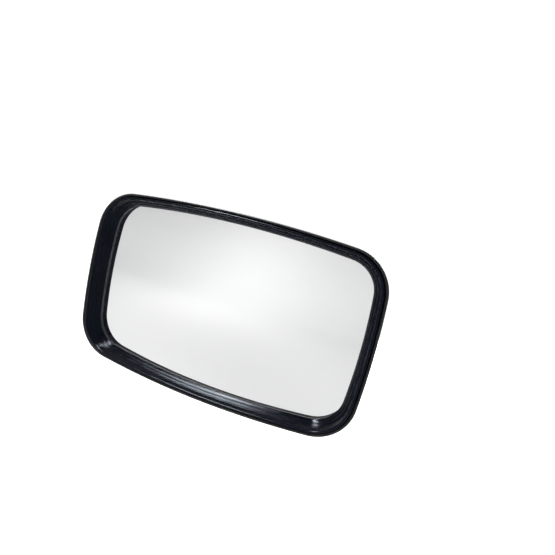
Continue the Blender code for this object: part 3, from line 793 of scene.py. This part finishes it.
def clamp_screw_mesh():
    """A socket head screw: hexagon socket, knurled head, plain shank and a helical thread down to its tip."""
    head_top = HEAD_SEAT_Y + HEAD_HEIGHT
    hexagon = hexagon_radius(SOCKET_WIDTH)
    mouth = SOCKET_WIDTH / math.sqrt(3) + 0.0001
    rows = [
        circle(hexagon, head_top - SOCKET_DEPTH),
        circle(hexagon, head_top - 0.0006),
        circle(lambda angle: max(hexagon(angle), mouth - 0.0003), head_top - 0.00035),
        circle(mouth, head_top - 0.0001),
        circle(mouth + 0.00015, head_top),
        circle(HEAD_RADIUS - 0.0009, head_top),
        circle(HEAD_RADIUS - 0.0005, head_top - 0.00012),
        circle(HEAD_RADIUS - KNURL_DEPTH, head_top - 0.0005),
        circle(knurled, head_top - 0.0009),
        circle(knurled, HEAD_SEAT_Y + 0.0006),
        circle(HEAD_RADIUS - KNURL_DEPTH, HEAD_SEAT_Y + 0.0002),
        circle(HEAD_RADIUS - 0.0006, HEAD_SEAT_Y),
        circle(SHANK_RADIUS + 0.0002, HEAD_SEAT_Y),
        circle(SHANK_RADIUS, HEAD_SEAT_Y - 0.0003),
    ]
    thread_start = HEAD_SEAT_Y - SHANK_LENGTH + THREAD_LENGTH
    rows.append(circle(SHANK_RADIUS, thread_start + 0.0004))
    count = int(THREAD_LENGTH / THREAD_PITCH * THREAD_ROWS_PER_TURN)
    for row in range(count):
        y = thread_start - THREAD_LENGTH * row / count
        fade = min(1.0, row / THREAD_ROWS_PER_TURN, (count - 1 - row) / THREAD_ROWS_PER_TURN)

        def ridge(angle, y=y, fade=fade):
            phase = (y / THREAD_PITCH - angle / (2 * math.pi)) % 1.0
            return SHANK_RADIUS - THREAD_DEPTH * (1 - abs(2 * phase - 1)) * fade

        rows.append(circle(ridge, y))
    tip = HEAD_SEAT_Y - SHANK_LENGTH
    rows.append(circle(SHANK_RADIUS - THREAD_DEPTH, tip))
    socket_bottom = (0.0, head_top - SOCKET_DEPTH - SOCKET_POINT_DEPTH, 0.0)
    return bridged(rows, first_pole=socket_bottom, last_pole=(0.0, tip, 0.0))


def nut_mesh(front_y, thickness, width):
    """A hexagon nut with chamfered corners and a plain hole."""
    hexagon = hexagon_radius(width)
    hole = SHANK_RADIUS + 0.0003
    mouth = 0.0005
    face_radius = width / 2 * 0.95
    chamfer = width / math.sqrt(3) - face_radius
    rise = chamfer * math.tan(math.radians(30))
    chamfer_steps = 4

    def chamfer_ring(share, y):
        limit = face_radius + chamfer * share
        return circle(lambda angle: min(hexagon(angle), limit), y)

    far_y = front_y + thickness
    shares = [step / chamfer_steps for step in range(1, chamfer_steps + 1)]
    rows = [circle(hole + mouth, front_y), circle(face_radius, front_y)]
    rows += [chamfer_ring(share, front_y + rise * share) for share in shares]
    rows += [chamfer_ring(share, far_y - rise * share) for share in reversed(shares)]
    rows += [circle(face_radius, far_y), circle(hole + mouth, far_y)]
    rows += [circle(hole, far_y - mouth), circle(hole, front_y + mouth)]
    return bridged(rows, wrap=True)


def build_screws(screw_steel, washer_steel, nut_steel):
    low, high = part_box("washer_upper")
    washer_profile = filleted([
        (CLEARANCE_RADIUS, high.y, 0.0001),
        ((high.x - low.x) / 2, high.y, 0.0003),
        ((high.x - low.x) / 2, low.y, 0.0001),
        (CLEARANCE_RADIUS, low.y, 0.0001),
    ])
    nut_low, nut_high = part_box("nut_upper")
    for label, side in (("upper", 1), ("lower", -1)):
        z = side * SCREW_OFFSET
        screw = place_on_clamp(clamp_screw_mesh(), z=z)
        washer = place_on_clamp(turned(washer_profile, SMALL_TURNED_STEPS), z=z)
        nut = place_on_clamp(nut_mesh(nut_low.y, nut_high.y - nut_low.y, NUT_WIDTH), z=z)
        body = f"{label}_screw"
        make_piece(screw, f"socket_screw_{label}", screw_steel, body, "screw_steel", f"clamp_screw_{label}")
        make_piece(washer, f"flat_washer_{label}", washer_steel, "clamp", "washer_steel", f"washer_{label}")
        make_piece(nut, f"hex_nut_{label}", nut_steel, "jaw", "zinc_steel", f"nut_{label}")


def dress_nodes(materials):
    """CAD nodes whose shape is right keep it, with bevelled edges and a finish."""
    for node, (material, width) in materials.items():
        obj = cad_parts[node]
        obj.data.materials.clear()
        obj.data.materials.append(material)
        bevel = obj.modifiers.new("Edges", "BEVEL")
        bevel.width = width
        bevel.segments = 2
        bevel.limit_method = "ANGLE"
        bevel.angle_limit = math.radians(50)


# Studio


def aimed(obj, place, target, roll=0.0):
    """Puts a light or camera at a place, facing a target. Roll turns it about its line of sight."""
    obj.location = place
    direction = (Vector(target) - Vector(place)).normalized()
    turn = direction.to_track_quat("-Z", "Y").to_matrix() @ Matrix.Rotation(roll, 3, "Z")
    obj.rotation_euler = turn.to_euler()
    bpy.context.scene.collection.objects.link(obj)


def build_world():
    """A white surround, a little greyer in front of the glass and much greyer overhead."""
    world = bpy.data.worlds.new("studio")
    bpy.context.scene.world = world
    world.use_nodes = True
    nodes, links = world.node_tree.nodes, world.node_tree.links

    def ramp(value, span, tones):
        node = nodes.new("ShaderNodeValToRGB")
        for element, position, tone in zip(node.color_ramp.elements, span, tones):
            element.position = position
            element.color = (tone, tone, tone, 1.0)
        links.new(value, node.inputs["Fac"])
        return node.outputs["Color"]

    split = nodes.new("ShaderNodeSeparateXYZ")
    links.new(nodes.new("ShaderNodeTexCoord").outputs["Generated"], split.inputs["Vector"])
    overhead = ramp(split.outputs["Z"], OVERHEAD_SPAN, OVERHEAD_TONES)
    around = ramp(split.outputs["Y"], FRONT_SPAN, FRONT_TONES)
    both = nodes.new("ShaderNodeMath")
    both.operation = "MULTIPLY"
    links.new(overhead, both.inputs[0])
    links.new(around, both.inputs[1])
    links.new(both.outputs["Value"], nodes["Background"].inputs["Color"])
    nodes["Background"].inputs["Strength"].default_value = SURROUND_STRENGTH


def wide_sun(name, direction, angle, power):
    """A distant light spread over a wide angle, so that it lights the whole floor evenly."""
    light = bpy.data.lights.new(name, "SUN")
    light.angle = angle
    light.energy = power
    aimed(bpy.data.objects.new(name, light), direction, (0.0, 0.0, 0.0))


def build_floor():
    """A pale floor that sweeps up into a wall far in front of the glass, which then mirrors no horizon."""
    profile = [(FLOOR_BACK_REACH, 0.0), (SWEEP_START_Y, 0.0)]
    for step in range(1, SWEEP_STEPS + 1):
        angle = math.pi / 2 * step / SWEEP_STEPS
        profile.append((SWEEP_START_Y - SWEEP_RADIUS * math.sin(angle), SWEEP_RADIUS * (1 - math.cos(angle))))
    profile.append((SWEEP_START_Y - SWEEP_RADIUS, SWEEP_RADIUS + WALL_HEIGHT))
    bm = bmesh.new()
    rows = [[bm.verts.new((x, y, z)) for x in (-FLOOR_HALF_WIDTH, FLOOR_HALF_WIDTH)] for y, z in profile]
    for row, follower in zip(rows, rows[1:]):
        bm.faces.new((row[0], row[1], follower[1], follower[0]))
    floor = new_object(bm, "floor")
    floor.data.shade_smooth()
    floor.location = (0.0, 0.0, HOUSING_LOW.z - FLOOR_DROP)
    finish = Finish("pale_floor", (0.8, 0.8, 0.8), 0.7, specular=0.2)
    split = finish.nodes.new("ShaderNodeSeparateXYZ")
    finish.links.new(finish.place, split.inputs["Vector"])
    nearness = finish.ranged(split.outputs["Y"], 0.0, 1.0, *FLOOR_TONE_SPAN)
    ramp = finish.colours(nearness, (FAR_TONE,) * 3, (NEAR_TONE,) * 3, 0.0, 1.0)
    ramp.elements.new(MIDDLE_TONE_SHARE).color = (MIDDLE_TONE, MIDDLE_TONE, MIDDLE_TONE, 1.0)
    floor.data.materials.append(finish.material)


def soft_box(name, place, target, width, height, power, diffuse=True, glossy=True):
    """A rectangular light. It may be kept out of matt surfaces or out of reflections."""
    light = bpy.data.lights.new(name, "AREA")
    light.shape = "RECTANGLE"
    light.size = width
    light.size_y = height
    light.energy = power
    obj = bpy.data.objects.new(name, light)
    aimed(obj, place, target)
    obj.visible_diffuse = diffuse
    obj.visible_glossy = glossy


def build_camera():
    camera = bpy.data.cameras.new("camera")
    camera.sensor_width = 36.0
    camera.lens = CAMERA_LENS
    camera.clip_start = 0.01
    camera.clip_end = 100.0
    obj = bpy.data.objects.new("camera", camera)
    aimed(obj, CAMERA_PLACE, CAMERA_AIM, CAMERA_ROLL)
    bpy.context.scene.camera = obj


build_camera()
build_world()
build_floor()
wide_sun("ceiling", direction=(-0.25, 0.45, 1.0), angle=math.radians(60), power=2.84)

# The rubber's highlight, seen only in reflections.
soft_box(
    "overhead_strip", place=(-0.41, -0.20, 1.00), target=(0.0, -0.04, 0.0),
    width=1.0, height=0.14, power=52.0, diffuse=False,
)
# A bright patch on the floor, which the glass mirrors as a glow.
soft_box(
    "pool", place=(-0.38, -0.95, 0.45), target=(-0.38, -1.15, -0.25),
    width=0.3, height=0.3, power=5.4, glossy=False,
)
# Light for the back of the head.
soft_box("back_box", place=(0.42, 1.20, 0.30), target=(0.0, 0.0, 0.0), width=0.7, height=0.4, power=24.0)

bpy.context.scene.view_settings.view_transform = "Standard"

housing_finish = housing_plastic()
build_housing(housing_finish)
build_moulded_rings(housing_finish)
build_gasket(gasket_rubber())
build_glass(mirror_silver())
build_grommet(dull_rubber("grommet_rubber", 0.016))
build_disc(disc_plastic())

zinc = metal("zinc_steel", (0.50, 0.51, 0.53), (0.66, 0.67, 0.68), 0.22, 0.38, 0.0006, 0.00001)
dull = metal("washer_steel", (0.18, 0.19, 0.21), (0.30, 0.31, 0.33), 0.30, 0.45, 0.0004, 0.00001)
spring = metal("spring_steel", (0.22, 0.23, 0.26), (0.36, 0.37, 0.40), 0.22, 0.36, 0.0006, 0.00001)
cast = metal("jaw_aluminium", (0.50, 0.51, 0.52), (0.64, 0.65, 0.66), 0.42, 0.60, 0.0009, 0.00008)
build_screws(screw_metal(), dull, zinc)

liner = dull_rubber("liner_rubber", 0.022)
# Each CAD node that keeps its shape, with its material and the width of its bevel.
dress_nodes({
    "safety_film": (film_material(), 0.0001),
    "friction_ring": (bearing_plastic(), 0.0003),
    "wave_spring": (spring, 0.0001),
    "retaining_plate": (zinc, 0.0003),
    **{f"plate_screw_{number}": (zinc, 0.0002) for number in range(1, 5)},
    "outer_jaw": (cast, 0.0008),
    "inner_jaw": (cast, 0.0008),
    "outer_liner": (liner, 0.0002),
    "inner_liner": (liner, 0.0002),
})
